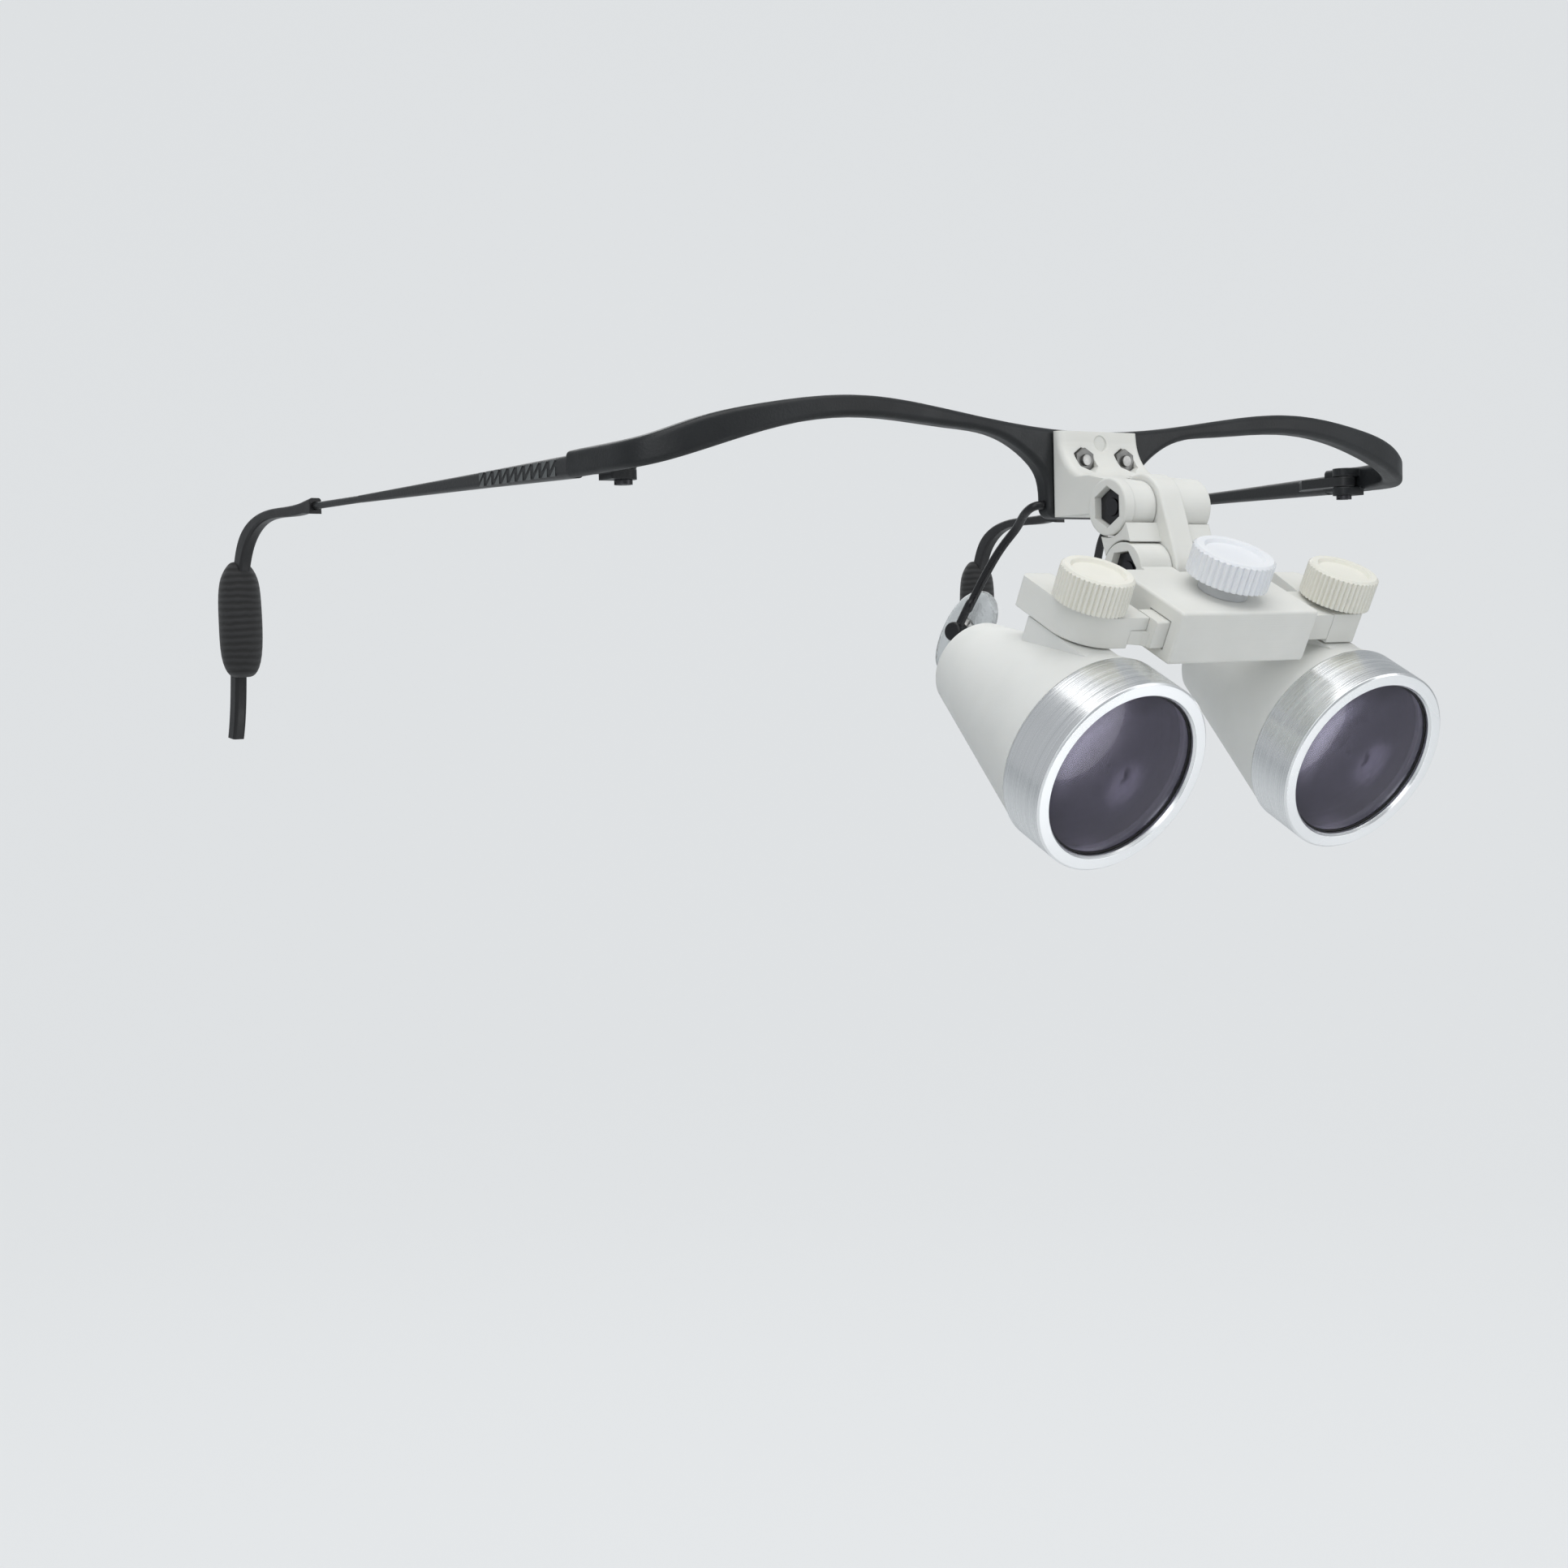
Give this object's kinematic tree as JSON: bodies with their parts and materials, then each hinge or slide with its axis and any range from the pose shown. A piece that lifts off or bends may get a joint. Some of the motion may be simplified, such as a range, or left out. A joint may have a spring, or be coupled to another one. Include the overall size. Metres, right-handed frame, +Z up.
{
  "type": "dental loupes",
  "caption": "Half-frame magnifying loupes with two short telescopes on a sliding, tilting mount that flips up from the brow bar.",
  "frame": {"origin": "midway between the two nose pads, where the frame rests on the nose", "axes": "+X towards the wearer's left, +Y from the face back towards the ears, +Z up"},
  "size_m": [0.178, 0.1823, 0.0665],
  "materials": {
    "frame_black": "satin black moulded nylon",
    "temple_black": "satin black with a silvery textured panel",
    "tip_black": "smooth black sleeve",
    "grip_black": "soft matt black grip",
    "wire_black": "thin black painted wire",
    "clear_silicone": "clear soft silicone",
    "ivory_plastic": "matt off-white moulded plastic",
    "barrel_white": "matt off-white moulded plastic",
    "cream_plastic": "matt cream plastic, finely fluted",
    "blue_white_plastic": "cool white plastic, coarsely fluted",
    "collar_grey": "matt light grey plastic",
    "dark_steel": "blackened steel",
    "bright_steel": "bright steel",
    "machined_aluminium": "turned bright aluminium",
    "coated_glass": "coated objective glass with a purple sheen",
    "eyepiece_glass": "clear polished glass",
    "ring_black": "matt black retaining ring"
  },
  "bodies": {
    "frame": {"brow_bar": "frame_black", "hinge_screws": "dark_steel", "nose_wire_right": "wire_black", "nose_wire_left": "wire_black", "bracket": "ivory_plastic", "bracket_screws": "bright_steel", "bracket_nuts": "bright_steel", "upper_pivot_screw": "dark_steel", "upper_pivot_nut": "dark_steel"},
    "right_temple_arm": {"temple_right": "temple_black", "temple_tip_right": "tip_black", "ear_grip_right": "grip_black"},
    "left_temple_arm": {"temple_left": "temple_black", "temple_tip_left": "tip_black", "ear_grip_left": "grip_black"},
    "right_nose_pad": {"nose_pad_right": "clear_silicone"},
    "left_nose_pad": {"nose_pad_left": "clear_silicone"},
    "hinge_link": {"link": "ivory_plastic"},
    "mount_block": {"centre_block": "ivory_plastic", "lower_pivot_screw": "dark_steel", "lower_pivot_nut": "dark_steel", "clamp_shoe": "bright_steel", "clamp_collar": "collar_grey"},
    "centre_knob": {"clamp_knob": "blue_white_plastic", "clamp_screw": "bright_steel"},
    "right_carriage": {"slide_bar_right": "ivory_plastic", "carriage_block_right": "ivory_plastic", "side_washer_right": "collar_grey"},
    "right_knob": {"side_knob_right": "cream_plastic", "side_screw_right": "bright_steel"},
    "right_telescope": {"telescope_body_right": "barrel_white", "bezel_right": "machined_aluminium", "objective_lens_right": "coated_glass", "ocular_lens_right": "eyepiece_glass", "ocular_ring_right": "ring_black"},
    "left_carriage": {"slide_bar_left": "ivory_plastic", "carriage_block_left": "ivory_plastic", "side_washer_left": "collar_grey"},
    "left_knob": {"side_knob_left": "cream_plastic", "side_screw_left": "bright_steel"},
    "left_telescope": {"telescope_body_left": "barrel_white", "bezel_left": "machined_aluminium", "objective_lens_left": "coated_glass", "ocular_lens_left": "eyepiece_glass", "ocular_ring_left": "ring_black"}
  },
  "joints": [
    {"name": "right_temple_fold", "type": "hinge", "parent": "frame", "child": "right_temple_arm", "pos_m": [-0.0712, -0.0013, 0.02525], "axis": [0, 0, -1], "range_deg": [0, 84]},
    {"name": "left_temple_fold", "type": "hinge", "parent": "frame", "child": "left_temple_arm", "pos_m": [0.0712, -0.0013, 0.02525], "axis": [0, 0, 1], "range_deg": [0, 95]},
    {"name": "right_nose_pad_swivel", "type": "hinge", "parent": "frame", "child": "right_nose_pad", "pos_m": [-0.013, -0.0004, 0.0008], "axis": [-0.932, -0.3608, 0.0351], "range_deg": [-10, 10]},
    {"name": "left_nose_pad_swivel", "type": "hinge", "parent": "frame", "child": "left_nose_pad", "pos_m": [0.013, -0.0004, 0.0008], "axis": [0.932, -0.3608, 0.0351], "range_deg": [-10, 10]},
    {"name": "flip_up_pivot", "type": "hinge", "parent": "frame", "child": "hinge_link", "pos_m": [0, -0.0304, 0.018], "axis": [-1, 0, 0], "range_deg": [-8, 110]},
    {"name": "tilt_pivot", "type": "hinge", "parent": "hinge_link", "child": "mount_block", "pos_m": [0, -0.03345, 0.00879], "axis": [-1, 0, 0], "range_deg": [-20, 40]},
    {"name": "centre_knob_turn", "type": "hinge", "parent": "mount_block", "child": "centre_knob", "pos_m": [0, -0.04602, 0.00703], "axis": [0, 0.4474, -0.8943], "range_deg": [-360, 0]},
    {"name": "right_spacing_slide", "type": "slide", "parent": "mount_block", "child": "right_carriage", "axis": [-1, 0, 0], "range_m": [-0.0016, 0.008]},
    {"name": "right_knob_turn", "type": "hinge", "parent": "right_carriage", "child": "right_knob", "pos_m": [-0.0234, -0.04393, 0.00405], "axis": [0, 0.4474, -0.8943], "range_deg": [-360, 0]},
    {"name": "right_telescope_aim", "type": "hinge", "parent": "right_carriage", "child": "right_telescope", "pos_m": [-0.0234, -0.04147, -0.00087], "axis": [0, 0.4474, -0.8943], "range_deg": [-5, 5]},
    {"name": "left_spacing_slide", "type": "slide", "parent": "mount_block", "child": "left_carriage", "axis": [1, 0, 0], "range_m": [0, 0.008]},
    {"name": "left_knob_turn", "type": "hinge", "parent": "left_carriage", "child": "left_knob", "pos_m": [0.0234, -0.04393, 0.00405], "axis": [0, 0.4474, -0.8943], "range_deg": [-360, 0]},
    {"name": "left_telescope_aim", "type": "hinge", "parent": "left_carriage", "child": "left_telescope", "pos_m": [0.0234, -0.04147, -0.00087], "axis": [0, -0.4474, 0.8943], "range_deg": [-5, 5]}
  ]
}
